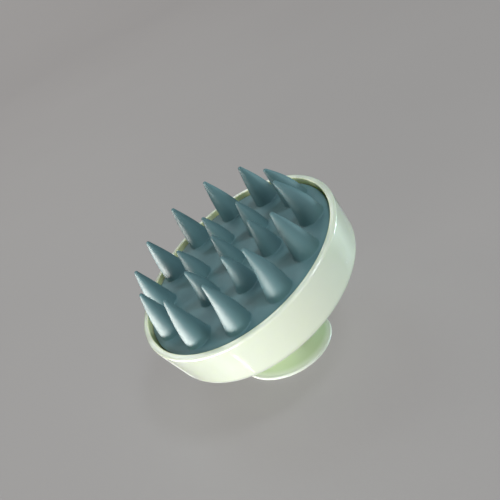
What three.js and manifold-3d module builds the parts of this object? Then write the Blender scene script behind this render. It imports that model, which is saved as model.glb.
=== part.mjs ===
// A hand-held scalp massager: a round shell with a lift-out insert of soft teeth, on a leaning knob handle.
// Millimetres, +Z up. The origin is the centre of the knob's flat palm face, on which the massager stands.
// Head sizes are heights above the rim plane of the shell, in the head's own frame, with the teeth up.
import * as THREE from "three";
import { mergeVertices } from "three/addons/utils/BufferGeometryUtils.js";
import Module from "manifold-3d";

const wasm = await Module();
wasm.setup();

// Driving dimensions: how the handle meets the head
const lean = 13.5; // degrees between the handle's axis and the head's
const crossDepth = 10; // depth behind the rim plane where the two axes cross
const crossHeight = 31.4; // height of that crossing above the palm face
const seatGap = 0.3; // between pieces that seat on each other

// Shell
const shellRadius = 39; // outside, at the rim
const wallTaper = 1.2; // by which the wall is narrower at the back corner
const shellDepth = 17; // rim plane to back face
const backCorner = 3.7; // radius of the rounded back corner
const lipWidth = 2.2;
const lipRound = 0.9;
const boreTaper = 0.5; // by which the bore is narrower at its ledge
const ledgeDepth = 12.3; // rim plane to the ledge that the insert lands on
const ledgeWidth = 2.4;
const floorThickness = 2.2;

// Teeth and pad
const padGap = 0.5; // the visible gap between pad and lip
const padTop = -1.5;
const padThickness = 2;
const skirtThickness = 2;
const edgeBand = 1.8; // width of the bevelled band round the pad
const edgeDrop = 0.5;
const toothFlare = 0.8; // how far a tooth's foot spreads
const toothMargin = 1.5; // from an outer tooth's foot to the edge of the pad
const innerShare = 0.493; // the inner ring's radius over the outer ring's
const outerTeeth = { count: 12, foot: 5, tip: 0.7, top: 16.1, turn: 0, inward: 4 };
const innerTeeth = { count: 6, foot: 4.3, tip: 0.7, top: 12, turn: 15, inward: 0 };
const centreTooth = { count: 1, foot: 4.3, tip: 0.7, top: 11.9, turn: 0, inward: 0 };

// Insert: the pegs of the pad, its plate, clamp ring and seal
const pegs = { count: 6, radius: 1.6, headRadius: 2.6, headHeight: 1.2, turn: 30 };
const pegMargin = 2.5; // from a peg's head to the clamp ring
const plateThickness = 3;
const ribHeight = 2.3;
const ribWidth = 1.6;
const ribMargin = 0.9; // from a rib's end to the clamp ring
const hubRadius = 7;
const clampWidth = 9.3;
const sealSection = 0.8; // radius of the seal's round section
const grooveWall = 0.85; // left above and below the seal
const plateScrews = { count: 4, turn: 45 };

// Handle
const knobRadius = 17.5;
const knobEdge = 1.4; // radius of the flange's rounded edge
const waistRadius = 10;
const waistHeight = 11.5;
const footRadius = 16.5;
const footHeight = 28.5; // where the flare of the stem would end if the shell didn't cut it
const cavityRoof = 5.4; // from the bottom of the handle's screw holes to the top of its hollow
const cavityTopRadius = 6;
const capMargin = 3.5; // from the cap's edge to the flange's rounded edge
const capThickness = 1.8;
const spigotInset = 0.1; // by which the spigot is slimmer than the waist
const spigotWall = 1.6;
const spigotHeight = 3;
const gasketInset = 0.3; // by which the gasket is slimmer than the waist
const gasketWidth = 1.2;
const gasketThickness = 1.4;
const handleScrews = { count: 3, turn: 60, bite: 7 };
const handleScrewInset = 2.7; // from the gasket's hole in to the screws' centres
const screw = { shank: 1.3, tip: 0.7, head: 2.6, edge: 0.9, crown: 2, headHeight: 1.7 };
const slot = { width: 0.7, depth: 0.8 };

// Sides of round pieces
const wallSides = 64;
const toothSides = 14;
const handleSides = 40;
const screwSides = 12;
const sealSides = 48;

const cutMargin = 1; // by which a cutting shape passes the piece that it cuts

// Sizes that follow from those
const leanAngle = THREE.MathUtils.degToRad(lean);
const boreRadius = shellRadius - lipWidth;
const ledgeBore = boreRadius - boreTaper;
const padRadius = boreRadius - padGap;
const padBottom = padTop - padThickness;
const outerCircle = padRadius - toothMargin - outerTeeth.foot;
const innerCircle = outerCircle * innerShare;
const plateTop = padBottom - seatGap;
const plateBottom = plateTop - plateThickness;
const plateMiddle = (plateTop + plateBottom) / 2;
const plateRadius = padRadius - skirtThickness - seatGap;
const grooveHalf = sealSection + seatGap; // half the height of the seal's groove
const sealRadius = ledgeBore - seatGap - sealSection;
const grooveRadius = sealRadius - grooveHalf;
const clampBottom = seatGap - ledgeDepth;
const sealHeight = clampBottom + grooveWall + grooveHalf;
const clampTop = sealHeight + grooveHalf + grooveWall;
const clampRadius = ledgeBore - padGap;
const clampInner = clampRadius - clampWidth;
const skirtBottom = clampTop + seatGap;
const pegCircle = clampInner - pegMargin - pegs.headRadius;
const plateScrewCircle = (clampInner + grooveRadius) / 2;
const floorTop = floorThickness - shellDepth;
const backPlane = -shellDepth - seatGap; // the handle's end, in the head's frame
const footCentre = -(shellDepth - crossDepth) * Math.tan(leanAngle); // the handle's axis at the back face
const gasketOuter = waistRadius - gasketInset;
const gasketInner = gasketOuter - gasketWidth;
const handleScrewCircle = gasketInner - handleScrewInset;
const cavityTop = crossHeight + crossDepth - shellDepth - handleScrews.bite - cavityRoof;
const capRadius = knobRadius - knobEdge - capMargin;
const recessRadius = capRadius + seatGap;
const recessDepth = capThickness + seatGap;
const spigotRadius = waistRadius - spigotInset;
const cavityRadius = spigotRadius + seatGap;

// The head's place: its axis crosses the handle's, and its teeth lean towards -X.
const headFrame = new THREE.Matrix4()
  .makeTranslation(0, 0, crossHeight)
  .multiply(new THREE.Matrix4().makeRotationY(-leanAngle))
  .multiply(new THREE.Matrix4().makeTranslation(0, 0, crossDepth));

// Points [radius, height] along an arc of an ellipse, angles in degrees.
function arc(radius, height, across, up, from, to, steps) {
  return Array.from({ length: steps + 1 }, (_, i) => {
    const angle = THREE.MathUtils.degToRad(from + ((to - from) * i) / steps);
    return [radius + across * Math.cos(angle), height + up * Math.sin(angle)];
  });
}

// A closed geometry as a solid that can be joined and cut.
function solid(geometry) {
  const bare = geometry.clone();
  bare.deleteAttribute("normal");
  bare.deleteAttribute("uv");
  const merged = mergeVertices(bare, 1e-4);
  const index = merged.index.array;
  const corners = [];
  for (let i = 0; i < index.length; i += 3) {
    const [a, b, c] = index.slice(i, i + 3);
    if (a !== b && b !== c && c !== a) corners.push(a, b, c);
  }
  return new wasm.Manifold(
    new wasm.Mesh({
      numProp: 3,
      vertProperties: merged.attributes.position.array,
      triVerts: new Uint32Array(corners),
    }),
  );
}

// A profile of [radius, height] points turned round +Z. It ends on the axis, or it is a ring.
function turned(profile, sides) {
  const onAxis = profile[0][0] === 0;
  const points = onAxis ? [...profile] : [...profile, profile[0]];
  let area = 0;
  points.forEach(([r, z], i) => {
    const [nextR, nextZ] = points[(i + 1) % points.length];
    area += r * nextZ - nextR * z;
  });
  if (area < 0) points.reverse();
  const vectors = points.map(([r, z]) => new THREE.Vector2(r, z));
  return solid(new THREE.LatheGeometry(vectors, sides).rotateX(Math.PI / 2));
}

function disc(radius, bottom, top, sides) {
  return turned([[0, bottom], [radius, bottom], [radius, top], [0, top]], sides);
}

function ring(inner, outer, bottom, top, sides) {
  return turned([[inner, bottom], [outer, bottom], [outer, top], [inner, top]], sides);
}

// A block between its lowest and its highest corner.
function block(low, high) {
  const size = high.map((end, i) => end - low[i]);
  const middle = high.map((end, i) => (end + low[i]) / 2);
  return solid(new THREE.BoxGeometry(...size).translate(...middle));
}

// The places [x, y, angle] of a pattern's copies on a circle round a centre on the X axis.
function places({ count, turn }, circle, centre = 0) {
  return Array.from({ length: count }, (_, i) => {
    const angle = THREE.MathUtils.degToRad(turn + (i * 360) / count);
    return [centre + circle * Math.cos(angle), circle * Math.sin(angle), angle];
  });
}

const mint = "#e6f1d8";
const mintShade = "#d3e4c0";
const slate = "#5f8189";
const innerPlastic = "#dfe5dc";
const darkRubber = "#3c4a4d";
const steel = "#b9bdc0";

function piece(name, shape, colour, roughness, metalness = 0) {
  const { vertProperties, triVerts } = shape.getMesh();
  const geometry = new THREE.BufferGeometry()
    .setAttribute("position", new THREE.BufferAttribute(vertProperties, 3))
    .setIndex(new THREE.BufferAttribute(triVerts, 1));
  geometry.computeVertexNormals();
  const material = new THREE.MeshStandardMaterial({ color: colour, roughness, metalness });
  const mesh = new THREE.Mesh(geometry, material);
  mesh.name = name;
  return mesh;
}

// The round cup: tapered wall, rounded lip and back corner, and the ledge for the insert.
function shell() {
  const cornerRadius = shellRadius - wallTaper - backCorner;
  const lipMiddle = shellRadius - lipRound;
  const profile = [
    [0, -shellDepth],
    ...arc(cornerRadius, backCorner - shellDepth, backCorner, backCorner, -90, 0, 6),
    ...arc(lipMiddle, -lipRound, lipRound, lipRound, 0, 90, 3),
    ...arc(boreRadius + lipRound, -lipRound, lipRound, lipRound, 90, 180, 3),
    [ledgeBore, -ledgeDepth],
    [ledgeBore - ledgeWidth, -ledgeDepth],
    [ledgeBore - ledgeWidth, floorTop],
    [0, floorTop],
  ];
  let cup = turned(profile, wallSides);
  for (const [x, y] of places(handleScrews, handleScrewCircle, footCentre)) {
    const hole = disc(screw.shank + seatGap, -shellDepth - cutMargin, floorTop + cutMargin, screwSides);
    cup = cup.subtract(hole.translate([x, y, 0]));
  }
  return piece("shell", cup, mint, 0.25);
}

// One tooth: a cone with a spread foot and a round tip, standing on the pad, before it leans inward.
function tooth({ foot, tip, top }) {
  const height = top - padTop;
  const slope = Math.atan2(foot - tip, height - tip);
  const flare = toothFlare * (1 + Math.tan(slope)); // the foot's spread, out to where the flank starts
  return turned(
    [
      [0, -padThickness / 2],
      [foot + toothFlare, -padThickness / 2],
      ...arc(foot + toothFlare, toothFlare, flare, toothFlare, 270, 180, 3),
      ...arc(0, height - tip, tip, tip, THREE.MathUtils.radToDeg(slope), 90, 3).slice(0, -1),
      [0, height],
    ],
    toothSides,
  );
}

// The soft moulding: the pad with its bevelled edge and skirt, the teeth, and the pegs that hold it.
function toothPad() {
  const skirtInner = padRadius - skirtThickness;
  let pad = turned(
    [
      [0, padBottom],
      [skirtInner, padBottom],
      [skirtInner, skirtBottom],
      [padRadius, skirtBottom],
      [padRadius, padTop - edgeDrop],
      [padRadius - edgeBand, padTop],
      [0, padTop],
    ],
    wallSides,
  );
  const rows = [[outerTeeth, outerCircle], [innerTeeth, innerCircle], [centreTooth, 0]];
  for (const [row, circle] of rows) {
    const leaning = tooth(row).rotate([0, -row.inward, 0]).translate([circle, 0, padTop]);
    for (const [, , angle] of places(row, circle)) {
      pad = pad.add(leaning.rotate([0, 0, THREE.MathUtils.radToDeg(angle)]));
    }
  }
  const pegHead = plateBottom - seatGap;
  const peg = turned(
    [
      [0, padBottom + padThickness / 2],
      [pegs.radius, padBottom + padThickness / 2],
      [pegs.radius, pegHead],
      [pegs.headRadius, pegHead],
      [pegs.radius, pegHead - pegs.headHeight],
      [0, pegHead - pegs.headHeight],
    ],
    screwSides,
  );
  for (const [x, y] of places(pegs, pegCircle)) pad = pad.add(peg.translate([x, y, 0]));
  return piece("tooth_pad", pad, slate, 0.5);
}

// The rigid disc that holds the pad flat, ribbed below.
function supportPlate() {
  let plate = disc(plateRadius, plateBottom, plateTop, wallSides);
  const ribBottom = plateBottom - ribHeight;
  plate = plate.add(disc(hubRadius, ribBottom, plateMiddle, screwSides));
  const rib = block([0, -ribWidth / 2, ribBottom], [clampInner - ribMargin, ribWidth / 2, plateMiddle]);
  for (const [, , angle] of places({ ...pegs, turn: 0 }, pegCircle)) {
    plate = plate.add(rib.rotate([0, 0, THREE.MathUtils.radToDeg(angle)]));
  }
  const pegHole = disc(pegs.radius + seatGap, plateBottom - cutMargin, plateTop + cutMargin, screwSides);
  for (const [x, y] of places(pegs, pegCircle)) plate = plate.subtract(pegHole.translate([x, y, 0]));
  const pilot = disc(screw.shank + seatGap, plateBottom - cutMargin, plateTop + cutMargin, screwSides);
  for (const [x, y] of places(plateScrews, plateScrewCircle)) {
    plate = plate.subtract(pilot.translate([x, y, 0]));
  }
  return piece("support_plate", plate, innerPlastic, 0.5);
}

// The ring that pinches the skirt, with the seal's groove round it and its screws sunk in its underside.
function clampRing() {
  let clamp = turned(
    [
      [clampInner, clampBottom],
      [clampRadius, clampBottom],
      [clampRadius, clampTop],
      [plateRadius - skirtThickness, clampTop],
      [plateRadius - skirtThickness, plateBottom - seatGap],
      [clampInner, plateBottom - seatGap],
    ],
    wallSides,
  );
  const grooveTop = sealHeight + grooveHalf;
  const groove = ring(grooveRadius, clampRadius + cutMargin, sealHeight - grooveHalf, grooveTop, wallSides);
  clamp = clamp.subtract(groove);
  const below = clampBottom - cutMargin;
  const sunk = disc(screw.head + seatGap, below, clampBottom + screw.headHeight + seatGap, screwSides);
  const hole = disc(screw.shank + seatGap, below, plateBottom, screwSides).add(sunk);
  for (const [x, y] of places(plateScrews, plateScrewCircle)) {
    clamp = clamp.subtract(hole.translate([x, y, 0]));
  }
  return piece("clamp_ring", clamp, innerPlastic, 0.5);
}

function sealRing() {
  const section = arc(sealRadius, sealHeight, sealSection, sealSection, 0, 360, 8).slice(0, -1);
  return piece("seal_ring", turned(section, sealSides), darkRubber, 0.6);
}

// A pan-headed screw with a cross slot, head up, with the underside of its head at height 0.
function screwShape(length) {
  const { shank, tip, head, edge, crown, headHeight } = screw;
  const body = turned(
    [
      [0, -length],
      [tip, -length],
      [shank, shank - length],
      [shank, 0],
      [head, 0],
      [head, edge],
      [crown, headHeight],
      [0, headHeight],
    ],
    screwSides,
  );
  const half = [head / 2, slot.width / 2];
  const bar = block([-half[0], -half[1], headHeight - slot.depth], [...half, headHeight + cutMargin]);
  return body.subtract(bar).subtract(bar.rotate([0, 0, 90]));
}

function handleScrewSet() {
  const under = floorTop + seatGap;
  const shape = screwShape(under - backPlane + handleScrews.bite);
  return places(handleScrews, handleScrewCircle, footCentre).map(([x, y], i) =>
    piece(`handle_screw_${i + 1}`, shape.translate([x, y, under]), steel, 0.3, 1),
  );
}

function plateScrewSet() {
  const under = clampBottom + screw.headHeight;
  const shape = screwShape(plateTop - under).rotate([180, 0, 0]);
  return places(plateScrews, plateScrewCircle).map(([x, y], i) =>
    piece(`plate_screw_${i + 1}`, shape.translate([x, y, under]), steel, 0.3, 1),
  );
}

// The stem and flanged knob, turned about the handle's axis and trimmed to the shell's back face.
function handle() {
  const flangeTop = 2 * knobEdge;
  const flangeRadius = knobRadius - knobEdge;
  const narrowing = flangeRadius - waistRadius;
  const profile = [
    [0, cavityTop],
    [cavityTopRadius, cavityTop],
    [cavityRadius, recessDepth + spigotHeight + seatGap],
    [cavityRadius, recessDepth],
    [recessRadius, recessDepth],
    [recessRadius, 0],
    ...arc(flangeRadius, knobEdge, knobEdge, knobEdge, -90, 90, 6),
    ...arc(flangeRadius, waistHeight, narrowing, waistHeight - flangeTop, 270, 180, 8).slice(1),
    ...arc(footRadius, waistHeight, footRadius - waistRadius, footHeight - waistHeight, 180, 90, 6).slice(1),
    [0, footHeight],
  ];
  const reach = 2 * shellRadius; // past the handle on every side
  const headSide = block([-reach, -reach, backPlane], [reach, reach, backPlane + reach]);
  const cutTop = backPlane + cutMargin;
  const grooveBottom = backPlane - gasketThickness - seatGap;
  const groove = ring(gasketInner - seatGap, gasketOuter + seatGap, grooveBottom, cutTop, handleSides);
  const pilot = disc(screw.shank + seatGap, backPlane - handleScrews.bite - seatGap, cutTop, screwSides);
  let cuts = headSide.add(groove.translate([footCentre, 0, 0]));
  for (const [x, y] of places(handleScrews, handleScrewCircle, footCentre)) {
    cuts = cuts.add(pilot.translate([x, y, 0]));
  }
  const stem = turned(profile, handleSides).subtract(cuts.transform(headFrame.elements));
  return piece("handle", stem, mintShade, 0.3);
}

function handleGasket() {
  const shape = ring(gasketInner, gasketOuter, backPlane - gasketThickness, backPlane, handleSides);
  return piece("handle_gasket", shape.translate([footCentre, 0, 0]), darkRubber, 0.7);
}

// The flush disc that closes the hollow knob, with its spigot.
function palmCap() {
  const spigotTop = capThickness + spigotHeight;
  const cap = turned(
    [
      [0, 0],
      [capRadius, 0],
      [capRadius, capThickness],
      [spigotRadius, capThickness],
      [spigotRadius, spigotTop],
      [spigotRadius - spigotWall, spigotTop],
      [spigotRadius - spigotWall, capThickness],
      [0, capThickness],
    ],
    handleSides,
  );
  return piece("palm_cap", cap, mintShade, 0.3);
}

const head = new THREE.Group();
head.applyMatrix4(headFrame);
head.add(shell(), toothPad(), supportPlate(), clampRing(), sealRing(), handleGasket());
head.add(...handleScrewSet(), ...plateScrewSet());

const massager = new THREE.Group();
massager.add(handle(), palmCap(), head);

export default massager;
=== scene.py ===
# The looks of the scalp massager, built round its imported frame.
# Sizes in the dictionaries are millimetres and degrees. Head pieces are modelled upright, with height 0 at
# the shell's rim plane, and then set in place.
import math

import bmesh
import bpy
from mathutils import Matrix, Vector


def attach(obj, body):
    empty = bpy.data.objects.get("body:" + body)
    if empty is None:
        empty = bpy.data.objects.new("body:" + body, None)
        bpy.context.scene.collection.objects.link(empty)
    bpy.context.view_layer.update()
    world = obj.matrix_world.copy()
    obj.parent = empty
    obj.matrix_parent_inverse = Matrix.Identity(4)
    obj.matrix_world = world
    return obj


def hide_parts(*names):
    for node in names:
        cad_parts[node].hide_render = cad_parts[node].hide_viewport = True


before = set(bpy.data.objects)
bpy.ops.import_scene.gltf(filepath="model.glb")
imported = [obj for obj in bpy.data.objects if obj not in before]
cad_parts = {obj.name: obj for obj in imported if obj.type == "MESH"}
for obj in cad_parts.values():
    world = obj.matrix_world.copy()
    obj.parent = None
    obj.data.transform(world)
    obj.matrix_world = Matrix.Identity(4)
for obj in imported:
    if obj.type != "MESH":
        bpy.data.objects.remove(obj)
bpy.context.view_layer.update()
print("frame loaded,", len(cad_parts), "CAD nodes")

mm = 0.001
fit = 0.3  # play between pieces that seat on each other
overcut = 1  # by which a cutting shape passes the piece that it cuts
seam = 0.002  # points nearer than this are one point

# How the head stands on its handle
stance = {"lean": 13.5, "crossDepth": 10, "crossHeight": 31.4}
headPlace = (
    Matrix.Translation((0, 0, stance["crossHeight"] * mm))
    @ Matrix.Rotation(math.radians(-stance["lean"]), 4, "Y")
    @ Matrix.Translation((0, 0, stance["crossDepth"] * mm))
)


# Modelling tools

def deselectAll():
    if bpy.context.mode != "OBJECT":
        bpy.ops.object.mode_set(mode="OBJECT")
    bpy.ops.object.select_all(action="DESELECT")


def makeActive(piece):
    deselectAll()
    piece.select_set(True)
    bpy.context.view_layer.objects.active = piece


# Points (radius, height) along an arc, angles in degrees
def arc(radius, height, across, up, start, end, steps):
    turns = [math.radians(start + (end - start) * i / steps) for i in range(steps + 1)]
    return [(radius + across * math.cos(a), height + up * math.sin(a)) for a in turns]


# Points along a curve that leaves the first point towards the second and ends at the third
def curve(first, pull, last, steps):
    shares = [i / steps for i in range(steps + 1)]
    weights = [((1 - s) ** 2, 2 * s * (1 - s), s ** 2) for s in shares]
    return [tuple(a * first[k] + b * pull[k] + c * last[k] for k in (0, 1)) for a, b, c in weights]


def closeSeams():
    bpy.ops.mesh.select_all(action="SELECT")
    bpy.ops.mesh.remove_doubles(threshold=seam * mm)
    bpy.ops.mesh.normals_make_consistent(inside=False)
    bpy.ops.object.mode_set(mode="OBJECT")


# One vertex is extruded along a profile of (radius, height) points, and the line is spun round Z
def spinProfile(name, points, steps):
    deselectAll()
    bpy.ops.mesh.primitive_plane_add(size=mm)
    piece = bpy.context.object
    piece.name = name
    bpy.ops.object.mode_set(mode="EDIT")
    bpy.ops.mesh.select_mode(type="VERT")
    bpy.ops.mesh.merge(type="CENTER")
    bpy.ops.transform.translate(value=(points[0][0] * mm, 0, points[0][1] * mm))
    for (r, z), (nextR, nextZ) in zip(points, points[1:]):
        step = ((nextR - r) * mm, 0, (nextZ - z) * mm)
        bpy.ops.mesh.extrude_region_move(TRANSFORM_OT_translate={"value": step})
    bpy.ops.mesh.select_all(action="SELECT")
    bpy.ops.mesh.spin(steps=steps, angle=math.tau, center=(0, 0, 0), axis=(0, 0, 1))
    closeSeams()
    return piece


def applyPlace(piece, place):
    bpy.context.view_layer.update()
    piece.matrix_world = place @ piece.matrix_world
    makeActive(piece)
    bpy.ops.object.transform_apply(location=True, rotation=True, scale=True)
    return piece


# A round bar along Z, for cutting holes
def rod(radius, low, high, x=0, y=0, sides=40):
    deselectAll()
    middle = (x * mm, y * mm, (low + high) / 2 * mm)
    bpy.ops.mesh.primitive_cylinder_add(
        vertices=sides, radius=radius * mm, depth=(high - low) * mm, location=middle)
    return applyPlace(bpy.context.object, Matrix())


def joined(pieces):
    makeActive(pieces[0])
    for piece in pieces[1:]:
        piece.select_set(True)
    if len(pieces) > 1:
        bpy.ops.object.join()
    return pieces[0]


# Copies round Z, each with its own mesh; the first piece is used up
def copiesRound(piece, count, turn=0):
    made = []
    for i in range(count):
        copy = piece.copy()
        copy.data = piece.data.copy()
        bpy.context.scene.collection.objects.link(copy)
        made.append(applyPlace(copy, Matrix.Rotation(math.radians(turn + 360 * i / count), 4, "Z")))
    bpy.data.objects.remove(piece)
    return made


# Cuts the tool out of the piece, or adds it, and uses it up
def combine(piece, tool, operation):
    modifier = piece.modifiers.new(operation, "BOOLEAN")
    modifier.operation = operation
    modifier.object = tool
    modifier.solver = "EXACT"
    makeActive(piece)
    bpy.ops.object.modifier_apply(modifier=modifier.name)
    bpy.data.objects.remove(tool)


def cut(piece, tool):
    combine(piece, tool, "DIFFERENCE")


def add(piece, tool):
    combine(piece, tool, "UNION")


# Rounds the sharp edges that the test picks, in edit mode
def roundEdges(piece, width, segments, test):
    makeActive(piece)
    bpy.ops.object.mode_set(mode="EDIT")
    bpy.ops.mesh.select_mode(type="EDGE")
    bpy.ops.mesh.select_all(action="DESELECT")
    mesh = bmesh.from_edit_mesh(piece.data)
    for edge in mesh.edges:
        ends = [v.co / mm for v in edge.verts]
        edge.select_set(test(*ends))
    bmesh.update_edit_mesh(piece.data)
    bpy.ops.mesh.bevel(offset=width * mm, segments=segments, affect="EDGES")
    closeSeams()


# Smooth shading, with the large flat faces kept flat
def smoothOff(piece, angle=35):
    makeActive(piece)
    bpy.ops.object.shade_smooth_by_angle(angle=math.radians(angle))
    modifier = piece.modifiers.new("flats", "WEIGHTED_NORMAL")
    modifier.keep_sharp = True
    bpy.ops.object.modifier_apply(modifier=modifier.name)


# Materials

# A shader socket that can be used in sums
class Value:
    def __init__(self, graph, socket):
        self.graph = graph
        self.socket = socket

    def maths(self, operation, first, second):
        return self.graph.node("ShaderNodeMath", {"operation": operation}, {0: first, 1: second})

    def __add__(self, other):
        return self.maths("ADD", self, other)

    def __radd__(self, other):
        return self.maths("ADD", other, self)

    def __sub__(self, other):
        return self.maths("SUBTRACT", self, other)

    def __rsub__(self, other):
        return self.maths("SUBTRACT", other, self)

    def __mul__(self, other):
        return self.maths("MULTIPLY", self, other)

    def __rmul__(self, other):
        return self.maths("MULTIPLY", other, self)

    def __truediv__(self, other):
        return self.maths("DIVIDE", self, other)


# A material and its nodes
class Graph:
    def __init__(self, name):
        self.material = bpy.data.materials.new(name)
        self.material.use_nodes = True
        self.tree = self.material.node_tree
        self.shader = self.tree.nodes["Principled BSDF"]
        self.place = self.node("ShaderNodeTexCoord", output="Object")

    def feed(self, socket, value):
        if isinstance(value, Value):
            self.tree.links.new(value.socket, socket)
        else:
            socket.default_value = value

    def node(self, kind, settings=None, inputs=None, output=0):
        made = self.tree.nodes.new(kind)
        for name, value in (settings or {}).items():
            if name == "stops":
                for stop, (position, colour) in zip(made.color_ramp.elements, value):
                    stop.position = position
                    stop.color = colour
            else:
                setattr(made, name, value)
        for name, value in (inputs or {}).items():
            self.feed(made.inputs[name], value)
        return Value(self, made.outputs[output])

    # Noise from 0 to 1, with patches about size millimetres across
    def noise(self, size, detail=2, roughness=0.5, stretch=None):
        place = self.place
        if stretch:
            place = self.node("ShaderNodeMapping", {}, {"Vector": place, "Scale": stretch})
        values = {"Vector": place, "Scale": 1 / (size * mm), "Detail": detail, "Roughness": roughness}
        return self.node("ShaderNodeTexNoise", {"noise_dimensions": "3D"}, values)

    # Distance from the Z axis
    def across(self, place):
        flat = self.node("ShaderNodeVectorMath", {"operation": "MULTIPLY"}, {0: place, 1: (1, 1, 0)})
        return self.node("ShaderNodeVectorMath", {"operation": "LENGTH"}, {0: flat}, output=1)

    # 0 below low and 1 above high
    def ramp(self, value, low, high):
        stops = [(low, (0, 0, 0, 1)), (high, (1, 1, 1, 1))]
        return self.node("ShaderNodeValToRGB", {"stops": stops}, {"Fac": value})

    def mix(self, share, first, second):
        settings = {"data_type": "RGBA", "blend_type": "MIX"}
        return self.node("ShaderNodeMix", settings, {0: share, 6: first, 7: second}, output=2)

    # Small bright or dark specks, a few of them in each square centimetre
    def specks(self, spacing, size):
        cells = self.node(
            "ShaderNodeTexVoronoi", {"feature": "F1"},
            {"Vector": self.place, "Scale": 1 / (spacing * mm), "Randomness": 1})
        return 1 - self.ramp(cells, size / spacing * 0.5, size / spacing)

    def bump(self, height, depth, before=None):
        values = {"Height": height, "Distance": depth * mm, "Strength": 1}
        if before:
            values["Normal"] = before
        return self.node("ShaderNodeBump", {}, values)

    def surface(self, values):
        for name, value in values.items():
            self.feed(self.shader.inputs[name], value)
        return self.material


# Linear colour with alpha from 0 to 255 sRGB values
def colour(red, green, blue):
    def linear(value):
        share = value / 255
        return share / 12.92 if share <= 0.04045 else ((share + 0.055) / 1.055) ** 2.4
    return (linear(red), linear(green), linear(blue), 1)


# The shell's tint for its bore is a yellow glow of light through the plastic, painted on the bore's wall
mintLook = {
    "pale": (231, 238, 220), "deep": (225, 233, 212), "roughness": 0.16, "smear": 0.1, "coat": 0.35,
    "through": 0.3, "paintedLightTint": (233, 238, 190), "dust": (196, 205, 186),
}
# The knob is the same plastic as the shell: its deeper, greener colours are painted light bounced from the
# shell's back, and its rim tint is a painted highlight
knobBounceLook = {
    "pale": (197, 215, 175), "deep": (189, 209, 166), "roughness": 0.34, "smear": 0.08, "coat": 0.05,
    "through": 0.12, "paintedLightTint": (232, 239, 226), "dust": (196, 205, 186), "rim": (0.88, 0.985),
}
# Where the painted glow on the bore's wall fades: outwards in shares of span bore radii, and in height in
# shares of the shell's, from its back face up
boreGlowFade = {"span": 1.1, "edge": (0.912, 0.926), "depth": (0.4, 0.6)}


# 1 on the walls of the shell's bore, where a glow of light through the plastic is painted, fading out
# halfway down
def boreGlowMask(g):
    values = {"Vector": g.place, "Location": headPlace.translation, "Rotation": headPlace.to_euler()}
    place = g.node("ShaderNodeMapping", {"vector_type": "TEXTURE"}, values)
    height = g.node("ShaderNodeSeparateXYZ", {}, {0: place}, output=2)
    inside = 1 - g.ramp(g.across(place) / (boreGlowFade["span"] * boreRadius * mm), *boreGlowFade["edge"])
    return inside * g.ramp(1 + height / (shell["depth"] * mm), *boreGlowFade["depth"])


# 1 along the thin rim of the knob, where a paler highlight is painted
def rimHighlightMask(g):
    return g.ramp(g.across(g.place) / (knob["radius"] * mm), *knobBounceLook["rim"])


# Gloss moulded plastic: faintly clouded pigment, a trace of orange peel, and dull handling marks. Painted
# light: a glow through the plastic tints the bore's wall yellow, and a highlight makes the knob's thin rim
# paler.
def mintPlastic(name, look, paintedLightMask):
    g = Graph(name)
    cloud = g.noise(14, detail=3)
    pigment = g.noise(0.35, detail=1)
    smear = g.ramp(g.noise(7, detail=5, roughness=0.6, stretch=(1, 1, 0.45)), 0.48, 0.72)
    dust = g.specks(5.5, 0.09)
    base = g.mix(cloud * 0.8 + pigment * 0.2, colour(*look["deep"]), colour(*look["pale"]))
    # Painted light: the mask mixes in a painted glow on the bore's wall, or a painted highlight on the
    # knob's rim
    base = g.mix(paintedLightMask(g), base, colour(*look["paintedLightTint"]))
    base = g.mix(dust * 0.25, base, colour(*look["dust"]))
    peel = g.bump(g.noise(1.3, detail=2), 0.004)
    fine = g.bump(g.noise(0.12, detail=2), 0.0008, peel)
    return g.surface({
        "Base Color": base,
        "Roughness": look["roughness"] + smear * look["smear"] + pigment * 0.03,
        "Normal": fine,
        "IOR": 1.5,
        "Subsurface Weight": look["through"],
        "Subsurface Radius": (1.0, 1.1, 0.7),
        "Subsurface Scale": 2 * mm,
        "Coat Weight": look["coat"],
        "Coat Roughness": 0.06,
    })


siliconeLook = {"pale": (90, 128, 132), "deep": (80, 117, 122), "dust": (170, 190, 190), "roughness": 0.58}


# Soft moulded silicone: satin, with a fine moulded grain, dull patches and a little dust
def satinSilicone(name, look):
    g = Graph(name)
    cloud = g.noise(9, detail=3)
    grain = g.noise(0.16, detail=2)
    dull = g.ramp(g.noise(5, detail=4, roughness=0.55), 0.45, 0.75)
    dust = g.specks(8, 0.22)
    mottle = g.noise(0.8, detail=4, roughness=0.7)
    tone = cloud * 0.5 + mottle * 0.35 + grain * 0.15
    base = g.mix(tone, colour(*look["deep"]), colour(*look["pale"]))
    base = g.mix(dust * 0.45, base, colour(*look["dust"]))
    moulded = g.bump(g.noise(2.4, detail=2), 0.01)
    fine = g.bump(grain, 0.0025, moulded)
    return g.surface({
        "Base Color": base,
        "Roughness": look["roughness"] + dull * 0.06 + mottle * 0.06,
        "Normal": fine,
        "IOR": 1.45,
        "Specular IOR Level": 1.0,
        "Subsurface Weight": 0.1,
        "Subsurface Radius": (0.6, 1.0, 1.1),
        "Subsurface Scale": 0.8 * mm,
        "Sheen Weight": 0.05,
        "Sheen Roughness": 0.4,
    })


innerLook = {"pale": (226, 232, 222), "deep": (214, 222, 212), "roughness": 0.42}


# Plain moulded plastic of the hidden pieces, with a spark-eroded texture
def mouldedPlastic(name, look):
    g = Graph(name)
    cloud = g.noise(8, detail=3)
    texture = g.noise(0.3, detail=3)
    base = g.mix(cloud, colour(*look["deep"]), colour(*look["pale"]))
    return g.surface({
        "Base Color": base,
        "Roughness": look["roughness"] + texture * 0.16,
        "Normal": g.bump(texture, 0.012),
        "IOR": 1.49,
    })


rubberLook = {"pale": (62, 76, 79), "deep": (52, 64, 67), "bloom": (96, 108, 110), "roughness": 0.5}


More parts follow.
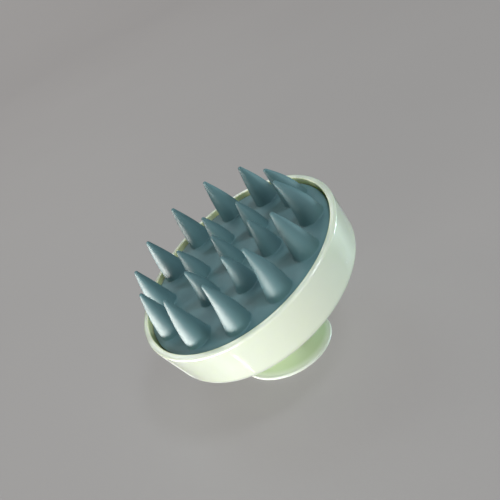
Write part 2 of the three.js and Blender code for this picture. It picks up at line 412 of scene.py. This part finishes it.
# Dark rubber with a dull bloom in patches
def darkRubber(name, look):
    g = Graph(name)
    cloud = g.noise(4, detail=4)
    grain = g.noise(0.2, detail=2)
    bloom = g.ramp(g.noise(2.5, detail=5, roughness=0.65), 0.5, 0.8)
    base = g.mix(cloud, colour(*look["deep"]), colour(*look["pale"]))
    base = g.mix(bloom * 0.25, base, colour(*look["bloom"]))
    return g.surface({
        "Base Color": base,
        "Roughness": look["roughness"] + bloom * 0.15,
        "Normal": g.bump(grain, 0.006),
        "IOR": 1.5,
    })


steelLook = {"bright": (196, 199, 201), "stained": (164, 166, 165), "roughness": 0.24}


# Steel with fine marks from turning and a few duller stains
def screwSteel(name, look):
    g = Graph(name)
    brush = g.noise(0.25, detail=3, stretch=(1, 8, 1))
    stain = g.ramp(g.noise(1.2, detail=4), 0.5, 0.8)
    base = g.mix(stain * 0.4, colour(*look["bright"]), colour(*look["stained"]))
    return g.surface({
        "Base Color": base,
        "Metallic": 1,
        "Roughness": look["roughness"] + brush * 0.14 + stain * 0.1,
        "Normal": g.bump(brush, 0.003),
    })


padFinish = satinSilicone("satinSilicone", siliconeLook)
innerFinish = mouldedPlastic("innerPlastic", innerLook)
rubberFinish = darkRubber("darkRubber", rubberLook)
steelFinish = screwSteel("screwSteel", steelLook)
print("materials made")


# Sets a finished piece in place, gives it its material and ties it to its body
def hand(piece, name, body, node, finish, place=headPlace):
    piece.name = name
    applyPlace(piece, place)
    piece.data.materials.clear()
    piece.data.materials.append(finish)
    smoothOff(piece)
    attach(piece, body)
    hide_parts(node)
    print("made", name, len(piece.data.polygons), "faces")


# The round cup, open upwards

shell = {
    "radius": 38.95, "taper": 1.15, "depth": 17, "corner": 3.7,
    "lipWidth": 2.15, "lipOuter": 0.8, "lipInner": 0.35, "boreTaper": 0.5,
    "ledgeDepth": 12.3, "ledgeWidth": 2.4, "floor": 2.2, "edge": 0.3, "steps": 160,
}
boreRadius = shell["radius"] - shell["lipWidth"]
shellFinish = mintPlastic("glossyMint", mintLook, boreGlowMask)
ledgeBore = boreRadius - shell["boreTaper"]
floorTop = shell["floor"] - shell["depth"]
handleScrews = {"count": 3, "circle": 5.8, "turn": 60, "bite": 7}
footCentre = -(shell["depth"] - stance["crossDepth"]) * math.tan(math.radians(stance["lean"]))
screw = {
    "shank": 1.3, "core": 0.95, "pitch": 0.55, "plain": 0.6,  # pitches without a ridge under the head
    "head": 2.6, "edge": 0.9, "height": 1.7, "corner": 0.2, "crown": 0.8, "steps": 36,
    "slot": 0.7, "slotDepth": 0.8,
}


# The places of the three handle screws, in the head's frame
def handleScrewPlaces():
    for i in range(handleScrews["count"]):
        angle = math.radians(handleScrews["turn"] + 360 * i / handleScrews["count"])
        across = handleScrews["circle"]
        yield footCentre + across * math.cos(angle), across * math.sin(angle)


def makeShell():
    s = shell
    corner = s["radius"] - s["taper"] - s["corner"]
    ledgeInner = ledgeBore - s["ledgeWidth"]
    edge = s["edge"]
    outer, inner = s["lipOuter"], s["lipInner"]
    cup = spinProfile("shellCup", [
        (0, -s["depth"]),
        (corner / 2, -s["depth"]),
        *arc(corner, s["corner"] - s["depth"], s["corner"], s["corner"], -90, 0, 14),
        *arc(s["radius"] - outer, -outer, outer, outer, 0, 90, 10),
        *arc(boreRadius + inner, -inner, inner, inner, 90, 180, 8),
        (ledgeBore, -s["ledgeDepth"]),
        *arc(ledgeInner + edge, -s["ledgeDepth"] - edge, edge, edge, 90, 180, 4),
        *arc(ledgeInner - 2 * edge, floorTop + 2 * edge, 2 * edge, 2 * edge, 0, -90, 5),
        (0, floorTop),
    ], s["steps"])
    hole = screw["shank"] + fit
    for x, y in handleScrewPlaces():
        cut(cup, rod(hole, -s["depth"] - overcut, floorTop + overcut, x, y))
    hand(cup, "shellCup", "body", "shell", shellFinish)


makeShell()


# The silicone moulding: pad, teeth, skirt and pegs

pad = {
    "gap": 0.5, "top": -1.15, "thickness": 2.35, "skirt": 2, "skirtBottom": -7.8,
    "band": 1.6, "drop": 0.5, "corner": 0.35, "crease": 0.1, "creaseDrop": 0.01,
    "skirtFillet": 0.6, "skirtEdge": 0.3, "rows": 22, "steps": 144,
}
padRadius = boreRadius - pad["gap"]
teeth = {
    "sides": 48, "flare": 0.4, "sunk": 0.03, "levels": 12, "bulge": 0.3,
    "curve": 1.8,  # power by which a bend grows towards the tip
    "swayTurn": -33.5,  # degrees, the side that the middles sway to
    "tipEnd": 84,  # degrees, where the round tip closes
}
# The teeth are soft: some tips bend inward and sideways, and some middles sway to one side
outerTooth = {
    "count": 12, "turn": 0, "circle": 29.8, "foot": 4.7, "tip": 0.7, "top": 16.1, "inward": 1.23,
    "bends": {11: (1.3, 0.6), 0: (1.8, -2.7), 1: (1.3, -1.7), 4: (0.2, 0.6), 9: (1.4, 0.9)},
    "sways": {8: 0.8, 9: 0.9, 11: 0.35},
}
innerTooth = {
    "count": 6, "turn": 15, "circle": 14.7, "foot": 4.05, "tip": 0.7, "top": 12, "inward": 0,
    "bends": {}, "sways": {0: 0.3, 1: 0.3, 2: 0.3, 3: 0.8, 4: 0.7, 5: 0.2},
}
centreTooth = {
    "count": 1, "turn": 0, "circle": 0, "foot": 4.05, "tip": 0.7, "top": 11.9, "inward": 0,
    "bends": {}, "sways": {0: 0.3},
}
pegs = {
    "count": 6, "turn": 30, "circle": 21.4, "radius": 1.6,
    "head": 2.6, "headTop": -7.1, "headEdge": 0.2, "height": 1.2, "steps": 32,
}


# Rings (height, radius) of a tooth above the pad, from its spread foot to its round tip
def toothRings(tooth):
    height = tooth["top"] - pad["top"]
    foot, tip, flare = tooth["foot"], tooth["tip"], teeth["flare"]
    slope = math.atan2(foot - tip, height - tip)
    rings = []
    for spread, rise in arc(foot + flare, flare, flare * (1 + math.tan(slope)), flare, 270, 180, 7):
        rings.append((rise - teeth["sunk"], spread))
    shoulder = height - tip + tip * math.sin(slope)
    for i in range(1, teeth["levels"]):
        share = i / teeth["levels"]
        z = flare + (shoulder - flare) * share
        rings.append((z, foot - z * math.tan(slope) + teeth["bulge"] * math.sin(math.pi * share)))
    for across, rise in arc(0, height - tip, tip, tip, math.degrees(slope), teeth["tipEnd"], 5):
        rings.append((rise, across))
    return height, rings


# A circle is extruded up ring by ring, and each ring is moved inward and resized; turn is where the tooth
# will stand, because the teeth that sway do so to the same side
def makeTooth(tooth, turn, bend, sway):
    height, rings = toothRings(tooth)
    deselectAll()
    widest = rings[0][1]
    x, y, z = tooth["circle"], 0, pad["top"] - pad["thickness"] / 2
    bpy.ops.mesh.primitive_circle_add(
        vertices=teeth["sides"], radius=widest * mm, fill_type="NGON", location=(x * mm, 0, z * mm))
    piece = applyPlace(bpy.context.object, Matrix())
    bpy.ops.object.mode_set(mode="EDIT")
    bpy.ops.mesh.select_mode(type="FACE")
    bpy.ops.mesh.select_all(action="SELECT")
    before = widest
    for rise, radius in rings:
        share = max(rise, 0) / height
        lean = share ** teeth["curve"]
        push = sway * math.sin(math.pi * min(share, 1))
        side = math.radians(teeth["swayTurn"] - turn)
        nextX = tooth["circle"] - (tooth["inward"] + bend[0]) * lean + push * math.cos(side)
        nextY = bend[1] * lean + push * math.sin(side)
        nextZ = pad["top"] + rise
        step = ((nextX - x) * mm, (nextY - y) * mm, (nextZ - z) * mm)
        bpy.ops.mesh.extrude_region_move(TRANSFORM_OT_translate={"value": step})
        size = radius / before
        centre = (nextX * mm, nextY * mm, nextZ * mm)
        bpy.ops.transform.resize(value=(size, size, 1), center_override=centre)
        x, y, z, before = nextX, nextY, nextZ, radius
    bpy.ops.mesh.merge(type="CENTER")
    closeSeams()
    return piece


def toothRing(tooth):
    ring = []
    for i in range(tooth["count"]):
        turn = tooth["turn"] + 360 * i / tooth["count"]
        piece = makeTooth(tooth, turn, tooth["bends"].get(i, (0, 0)), tooth["sways"].get(i, 0))
        ring.append(applyPlace(piece, Matrix.Rotation(math.radians(turn), 4, "Z")))
    return joined(ring)


def makePad():
    p = pad
    bottom = p["top"] - p["thickness"]
    flat = padRadius - p["band"]
    corner, crease = p["corner"], p["crease"]
    fillet, edge = p["skirtFillet"], p["skirtEdge"]
    skirtInner = padRadius - p["skirt"]
    body = spinProfile("toothPad", [
        (0, bottom),
        (skirtInner / 2, bottom),
        (skirtInner - fillet, bottom),
        *arc(skirtInner - fillet, bottom - fillet, fillet, fillet, 90, 0, 4),
        *arc(skirtInner + edge, p["skirtBottom"] + edge, edge, edge, 180, 270, 3),
        *arc(padRadius - edge, p["skirtBottom"] + edge, edge, edge, 270, 360, 3),
        *arc(padRadius - corner, p["top"] - p["drop"] - corner, corner, corner, 0, 75, 6),
        (flat + crease, p["top"] - p["creaseDrop"]),
        *[(flat * (1 - i / p["rows"]), p["top"]) for i in range(1, p["rows"] + 1)],
    ], p["steps"])
    for tooth in (outerTooth, innerTooth, centreTooth):
        add(body, toothRing(tooth))
    peg = spinProfile("peg", [
        (0, bottom + p["thickness"] / 2),
        (pegs["radius"], bottom + p["thickness"] / 2),
        (pegs["radius"], pegs["headTop"]),
        (pegs["head"], pegs["headTop"]),
        (pegs["head"], pegs["headTop"] - pegs["headEdge"]),
        (pegs["radius"], pegs["headTop"] - pegs["height"]),
        (0, pegs["headTop"] - pegs["height"]),
    ], pegs["steps"])
    applyPlace(peg, Matrix.Translation((pegs["circle"] * mm, 0, 0)))
    add(body, joined(copiesRound(peg, pegs["count"], pegs["turn"])))
    hand(body, "toothPad", "tooth_insert", "tooth_pad", padFinish)


makePad()


# The stem and flanged knob, upright on the palm face

knob = {
    "radius": 17.5, "edge": 0.7, "rimHeight": 0.98, "slope": 34, "neck": 1.2,
    "waist": 10, "waistHeight": 11.5, "foot": 16.5, "footHeight": 28.5,
    "capRadius": 12.6, "capThickness": 1.8, "capEdge": 0.25,
    "spigot": 9.9, "spigotWall": 1.6, "spigotHeight": 3,
    "cavityTop": 12, "cavityTopRadius": 6, "steps": 128,
}
knobFinish = mintPlastic("glossyMintKnob", knobBounceLook, rimHighlightMask)
gasket = {"inner": 8.5, "outer": 9.7, "thickness": 1.4, "edge": 0.2, "steps": 96}
backPlane = -shell["depth"] - fit


def makeKnob():
    k = knob
    flange = k["radius"] - k["edge"]
    recess, recessDepth = k["capRadius"] + fit, k["capThickness"] + fit
    cavity = k["spigot"] + fit
    edge = k["capEdge"]
    rimTop = k["rimHeight"] + k["edge"]
    reach = flange - k["waist"] - k["neck"]
    flare = (k["waist"] + k["neck"], rimTop + reach * math.tan(math.radians(k["slope"])))
    piece = spinProfile("knobHandle", [
        (0, k["cavityTop"]),
        (k["cavityTopRadius"], k["cavityTop"]),
        (cavity, recessDepth + k["spigotHeight"] + fit),
        (cavity, recessDepth),
        (recess, recessDepth),
        *arc(recess + edge, edge, edge, edge, 180, 270, 3),
        *arc(flange, k["rimHeight"], k["edge"], k["edge"], -80, 90, 16),
        *curve((flange, rimTop), flare, (k["waist"], k["waistHeight"]), 22)[1:],
        *arc(k["foot"], k["waistHeight"], k["foot"] - k["waist"],
             k["footHeight"] - k["waistHeight"], 180, 90, 22)[1:],
        (0, k["footHeight"]),
    ], k["steps"])
    seat = headPlace @ Vector((0, 0, backPlane * mm))
    facing = headPlace.to_3x3() @ Vector((0, 0, 1))
    makeActive(piece)
    bpy.ops.object.mode_set(mode="EDIT")
    bpy.ops.mesh.select_all(action="SELECT")
    bpy.ops.mesh.bisect(plane_co=seat, plane_no=facing, use_fill=True, clear_outer=True)
    closeSeams()
    cutTop = backPlane + overcut
    groove = spinProfile("groove", [
        (gasket["inner"] - fit, cutTop),
        (gasket["inner"] - fit, backPlane - gasket["thickness"] - fit),
        (gasket["outer"] + fit, backPlane - gasket["thickness"] - fit),
        (gasket["outer"] + fit, cutTop),
        (gasket["inner"] - fit, cutTop),
    ], gasket["steps"])
    applyPlace(groove, headPlace @ Matrix.Translation((footCentre * mm, 0, 0)))
    cut(piece, groove)
    for x, y in handleScrewPlaces():
        pilot = rod(screw["shank"] + fit, backPlane - handleScrews["bite"] - fit, cutTop, x, y)
        cut(piece, applyPlace(pilot, headPlace))
    hand(piece, "knobHandle", "body", "handle", knobFinish, Matrix())


makeKnob()


# The flush disc in the palm face, with its spigot

def makePalmCap():
    k = knob
    edge = k["capEdge"]
    spigotTop = k["capThickness"] + k["spigotHeight"]
    bore = k["spigot"] - k["spigotWall"]
    piece = spinProfile("palmCap", [
        (0, 0),
        (k["capRadius"] / 2, 0),
        *arc(k["capRadius"] - edge, edge, edge, edge, -90, 0, 4),
        (k["capRadius"], k["capThickness"]),
        (k["spigot"], k["capThickness"]),
        *arc(k["spigot"] - edge, spigotTop - edge, edge, edge, 0, 90, 4),
        *arc(bore + edge, spigotTop - edge, edge, edge, 90, 180, 4),
        (bore, k["capThickness"]),
        (0, k["capThickness"]),
    ], k["steps"])
    hand(piece, "palmCap", "body", "palm_cap", knobFinish, Matrix())


makePalmCap()


# Inside the insert: plate, clamp ring and seal

insert = {
    "plateRadius": 34, "plateTop": -3.8, "plateBottom": -6.8, "plateEdge": 0.3, "plateSteps": 128,
    "ribs": 6, "ribHeight": 2.3, "ribWidth": 1.6, "ribMargin": 0.9, "hub": 7,
    "clampInner": 26.5, "clampRadius": 35.8, "clampBottom": -12, "clampTop": -8.1, "clampStep": 32,
    "clampEdge": 0.25, "clampSteps": 144,
    "sealRadius": 35.2, "sealSection": 0.8, "sealHeight": -10.05, "sealFlash": 0.03,
    "sealSides": 24, "sealSteps": 160,
    "screws": 4, "screwCircle": 30.3, "screwTurn": 45,
}


def makePlate():
    p = insert
    bottom, top = p["plateBottom"], p["plateTop"]
    edge = p["plateEdge"]
    hubBottom = bottom - p["ribHeight"]
    plate = spinProfile("supportPlate", [
        (0, hubBottom),
        *arc(p["hub"] - edge, hubBottom + edge, edge, edge, -90, 0, 3),
        *arc(p["hub"] + 2 * edge, bottom - 2 * edge, 2 * edge, 2 * edge, 180, 90, 4),
        *arc(p["plateRadius"] - edge, bottom + edge, edge, edge, -90, 0, 3),
        *arc(p["plateRadius"] - edge, top - edge, edge, edge, 0, 90, 3),
        (0, top),
    ], p["plateSteps"])
    ribEnd = p["clampInner"] - p["ribMargin"]
    deselectAll()
    middle = ((p["hub"] / 2 + ribEnd) / 2 * mm, 0, bottom * mm)
    bpy.ops.mesh.primitive_cube_add(size=1, location=middle)
    rib = bpy.context.object
    rib.scale = ((ribEnd - p["hub"] / 2) * mm, p["ribWidth"] * mm, 2 * p["ribHeight"] * mm)
    applyPlace(rib, Matrix())
    roundEdges(rib, edge, 2, lambda a, b: max(a.z, b.z) < bottom)
    add(plate, joined(copiesRound(rib, p["ribs"])))
    pegHole = rod(pegs["radius"] + fit, bottom - overcut, top + overcut, pegs["circle"])
    cut(plate, joined(copiesRound(pegHole, pegs["count"], pegs["turn"])))
    pilot = rod(screw["shank"] + fit, bottom - overcut, top + overcut, p["screwCircle"])
    cut(plate, joined(copiesRound(pilot, p["screws"], p["screwTurn"])))
    hand(plate, "supportPlate", "tooth_insert", "support_plate", innerFinish)


def makeClampRing():
    p = insert
    edge = p["clampEdge"]
    groove = p["sealSection"] + fit
    grooveRadius = p["sealRadius"] - groove
    seatTop = p["plateBottom"] - fit
    ring = spinProfile("clampRing", [
        *arc(p["clampInner"] + edge, p["clampBottom"] + edge, edge, edge, 180, 270, 3),
        *arc(p["clampRadius"] - edge, p["clampBottom"] + edge, edge, edge, 270, 360, 3),
        (p["clampRadius"], p["sealHeight"] - groove),
        (grooveRadius, p["sealHeight"] - groove),
        (grooveRadius, p["sealHeight"] + groove),
        (p["clampRadius"], p["sealHeight"] + groove),
        *arc(p["clampRadius"] - edge, p["clampTop"] - edge, edge, edge, 0, 90, 3),
        (p["clampStep"], p["clampTop"]),
        (p["clampStep"], seatTop),
        (p["clampInner"], seatTop),
        (p["clampInner"], p["clampBottom"] + edge),
    ], p["clampSteps"])
    below = p["clampBottom"] - overcut
    hole = rod(screw["shank"] + fit, below, seatTop + overcut, p["screwCircle"])
    cut(ring, joined(copiesRound(hole, p["screws"], p["screwTurn"])))
    sunk = rod(screw["head"] + fit, below, p["clampBottom"] + screw["height"] + fit, p["screwCircle"])
    cut(ring, joined(copiesRound(sunk, p["screws"], p["screwTurn"])))
    hand(ring, "clampRing", "tooth_insert", "clamp_ring", innerFinish)


# A round section with the thin flash line that a moulded ring keeps inside and outside
def makeSeal():
    p = insert
    section, flash, sides = p["sealSection"], p["sealFlash"], p["sealSides"]
    outline = []
    for i in range(sides):
        angle = math.tau * i / sides
        size = section - flash + (flash if i % (sides // 2) == 0 else 0)
        outline.append((p["sealRadius"] + size * math.cos(angle), p["sealHeight"] + size * math.sin(angle)))
    ring = spinProfile("sealRing", outline + outline[:1], p["sealSteps"])
    hand(ring, "sealRing", "tooth_insert", "seal_ring", rubberFinish)


def makeGasket():
    edge = gasket["edge"]
    low, high = backPlane - gasket["thickness"], backPlane
    ring = spinProfile("handleGasket", [
        *arc(gasket["inner"] + edge, low + edge, edge, edge, 180, 270, 3),
        *arc(gasket["outer"] - edge, low + edge, edge, edge, 270, 360, 3),
        *arc(gasket["outer"] - edge, high - edge, edge, edge, 0, 90, 3),
        *arc(gasket["inner"] + edge, high - edge, edge, edge, 90, 180, 3),
        (gasket["inner"], low + edge),
    ], gasket["steps"])
    applyPlace(ring, Matrix.Translation((footCentre * mm, 0, 0)))
    hand(ring, "handleGasket", "body", "handle_gasket", rubberFinish)


makePlate()
makeClampRing()
makeSeal()
makeGasket()


# Screws, head up, with the underside of the head at height 0

# A shank with ridges for its thread, a domed head and a straight slot
def makeScrew(length):
    s = screw
    shank = []
    z = -length + 2 * s["pitch"]  # the first ridge stands past the tapered end
    while z < -s["plain"] * s["pitch"]:
        shank += [(s["core"], z), (s["shank"], z + s["pitch"] / 2)]
        z += s["pitch"]
    piece = spinProfile("screw", [
        (0, -length),
        (s["core"] / 2, -length),
        *shank,
        (s["core"], 0),
        *arc(s["head"] - s["corner"], s["corner"], s["corner"], s["corner"], -90, 0, 3),
        *arc(s["head"] - s["crown"], s["edge"], s["crown"], s["height"] - s["edge"], 0, 90, 6),
        (0, s["height"]),
    ], s["steps"])
    deselectAll()
    bpy.ops.mesh.primitive_cube_add(size=1, location=(0, 0, s["height"] * mm))
    bar = bpy.context.object
    bar.scale = (s["head"] * mm, s["slot"] * mm, 2 * s["slotDepth"] * mm)
    cut(piece, applyPlace(bar, Matrix()))
    return piece


# A screw at each place, head up, or head down where it is turned
def makeScrews(name, node, body, length, places, turned=False):
    shape = makeScrew(length)
    flip = Matrix.Rotation(math.pi, 4, "X") if turned else Matrix()
    for i, (x, y, z) in enumerate(places):
        copy = shape.copy()
        copy.data = shape.data.copy()
        bpy.context.scene.collection.objects.link(copy)
        place = headPlace @ Matrix.Translation((x * mm, y * mm, z * mm)) @ flip
        hand(copy, f"{name}{i + 1}", body, f"{node}_{i + 1}", steelFinish, place)
    bpy.data.objects.remove(shape)


def makeHandleScrews():
    under = floorTop + fit
    length = under - backPlane + handleScrews["bite"]
    places = [(x, y, under) for x, y in handleScrewPlaces()]
    makeScrews("handleScrew", "handle_screw", "body", length, places)


def makePlateScrews():
    under = insert["clampBottom"] + screw["height"]
    length = insert["plateTop"] - under
    across = insert["screwCircle"]
    places = []
    for i in range(insert["screws"]):
        angle = math.radians(insert["screwTurn"] + 360 * i / insert["screws"])
        places.append((across * math.cos(angle), across * math.sin(angle), under))
    makeScrews("plateScrew", "plate_screw", "tooth_insert", length, places, turned=True)


makeHandleScrews()
makePlateScrews()


# Studio: a pale floor that sweeps up far behind, soft lights, and the camera of the photograph

studio = {
    "floorRadius": 1100, "innerRing": 220, "sweep": 700, "wall": 1500, "steps": 96,
    "floorColour": (96, 94, 93), "floorGlow": (137, 135, 134),
    "darker": 5, "paler": 4,  # levels by which the floor's patches differ from its colour
    "sky": (0.96, 0.98, 1.0), "skyStrength": 0.02, "lampDistance": 750, "aimHeight": 35,
}
lamps = {
    "low": {
        "turn": 204, "rise": -20, "size": (300, 170), "power": 4.1, "tint": (0.97, 1.0, 1.0),
        "gloss": False,
    },
    "left": {
        "turn": 214, "rise": 14, "size": (220, 220), "power": 1.6, "tint": (1.0, 0.95, 0.93),
        "gloss": False,
    },
    "front": {"turn": 275, "rise": 36, "size": (260, 200), "power": 1.05, "tint": (0.9, 1.0, 0.99)},
    "high": {"turn": 310, "rise": 60, "size": (150, 150), "power": 1.9, "tint": (0.84, 0.92, 1.0)},
    "side": {"turn": 0, "rise": -14, "size": (220, 220), "power": 2.7, "tint": (0.74, 0.97, 1.0)},
    "back": {"turn": 90, "rise": 60, "size": (300, 300), "power": 0.85, "tint": (0.8, 1.0, 1.0)},
    "rear": {"turn": 135, "rise": 35, "size": (200, 200), "power": 0.65, "tint": (1.0, 0.95, 0.88)},
}
# Reflector cards, seen only as gloss: on the teeth, the front of the wall, the low edges and the lip. The
# last one stands in for the floor, which gloss doesn't show.
cards = {
    "sheen": {
        "turn": 182, "rise": -21, "size": (520, 84), "power": 7, "tint": (1.0, 0.99, 0.93),
        "away": 400,
    },
    "glareWide": {"turn": 178, "rise": -56, "size": (170, 120), "power": 0.045, "tint": (1.0, 1.0, 1.0)},
    "glareThin": {"turn": 200, "rise": -57, "size": (6, 120), "power": 0.06, "tint": (1.0, 1.0, 1.0)},
    "edge": {"turn": 88, "rise": -45, "size": (300, 380), "power": 0.4, "tint": (1.0, 1.0, 0.97)},
    "lipShine": {"turn": 95, "rise": 33, "size": (380, 160), "power": 0.6, "tint": (1.0, 1.0, 1.0)},
    "ground": {"turn": 254, "rise": -90, "size": (2500, 2500), "power": 4, "tint": (1.0, 0.99, 0.98)},
}
backdrop = {
    "place": (-100, 700, 900), "aim": (350, 1900, 200), "size": (600, 600), "power": 6, "tint": (1, 1, 1),
}
aim = Vector((0, 0, studio["aimHeight"] * mm))


def paleFloor():
    g = Graph("paleFloor")
    cloud = g.noise(120, detail=4)
    grain = g.noise(0.8, detail=3)
    deep = colour(*(part - studio["darker"] for part in studio["floorColour"]))
    pale = colour(*(part + studio["paler"] for part in studio["floorColour"]))
    base = g.mix(cloud * 0.7 + grain * 0.3, deep, pale)
    return g.surface({
        "Base Color": base,
        "Emission Color": colour(*studio["floorGlow"]),
        "Emission Strength": 1,
        "Roughness": 0.55 + cloud * 0.1,
        "Normal": g.bump(grain, 0.02),
        "Specular IOR Level": 0.3,
    })


def makeLamp(name, lamp, place, target):
    light = bpy.data.lights.new(name, "AREA")
    light.shape = "RECTANGLE"
    light.size, light.size_y = (side * mm for side in lamp["size"])
    light.energy = lamp["power"]
    light.color = lamp["tint"]
    holder = bpy.data.objects.new(name, light)
    bpy.context.scene.collection.objects.link(holder)
    holder.location = place
    holder.rotation_euler = (target - place).to_track_quat("-Z", "Y").to_euler()
    holder.visible_camera = False
    holder.visible_glossy = lamp.get("gloss", True)
    return holder


# A lamp's place from its turn and rise, seen from the middle of the object
def roundPlace(lamp):
    turn, rise = math.radians(lamp["turn"]), math.radians(lamp["rise"])
    away = Vector((math.cos(turn) * math.cos(rise), math.sin(turn) * math.cos(rise), math.sin(rise)))
    return aim + away * lamp.get("away", studio["lampDistance"]) * mm


def makeStudio():
    s = studio
    floor = spinProfile("floor", [
        (0, 0), (s["innerRing"], 0),
        *arc(s["floorRadius"], s["sweep"], s["sweep"], s["sweep"], -90, 0, 24),
        (s["floorRadius"] + s["sweep"], s["wall"]),
    ], s["steps"])
    bpy.ops.object.shade_smooth()
    floor.data.materials.append(paleFloor())
    floor.visible_shadow = False  # light comes through it, as on a light table
    floor.visible_glossy = False  # so that gloss shows the cards under it
    for name, lamp in lamps.items():
        makeLamp(name, lamp, roundPlace(lamp), aim)
    for name, card in cards.items():
        makeLamp(name, card, roundPlace(card), aim).visible_diffuse = False
    makeLamp("backdrop", backdrop, Vector(backdrop["place"]) * mm, Vector(backdrop["aim"]) * mm)
    world = bpy.data.worlds.new("studio")
    world.use_nodes = True
    sky = world.node_tree.nodes["Background"]
    sky.inputs["Color"].default_value = (*s["sky"], 1)
    sky.inputs["Strength"].default_value = s["skyStrength"]
    bpy.context.scene.world = world
    bpy.context.scene.view_settings.view_transform = "Standard"


# The camera's place and axes come from the rim, the tooth tips and the knob in the photograph
cameraFit = {
    "place": (-47.995, -183.421, 139.519), "focal": 645.94, "frame": 500, "sensor": 36,
    "right": (0.79415, -0.448, -0.41064), "up": (0.55688, 0.2659, 0.78688),
    "forward": (0.24333, 0.85358, -0.46064), "clip": (0.01, 20),
}


def makeCamera():
    c = cameraFit
    data = bpy.data.cameras.new("camera")
    data.sensor_width = c["sensor"]
    data.lens = c["focal"] / c["frame"] * c["sensor"]
    data.clip_start, data.clip_end = c["clip"]
    camera = bpy.data.objects.new("camera", data)
    bpy.context.scene.collection.objects.link(camera)
    axes = Matrix((Vector(c["right"]), Vector(c["up"]), -Vector(c["forward"]))).transposed()
    camera.matrix_world = Matrix.Translation(Vector(c["place"]) * mm) @ axes.to_4x4()
    bpy.context.scene.camera = camera


makeStudio()
makeCamera()
print("studio made")
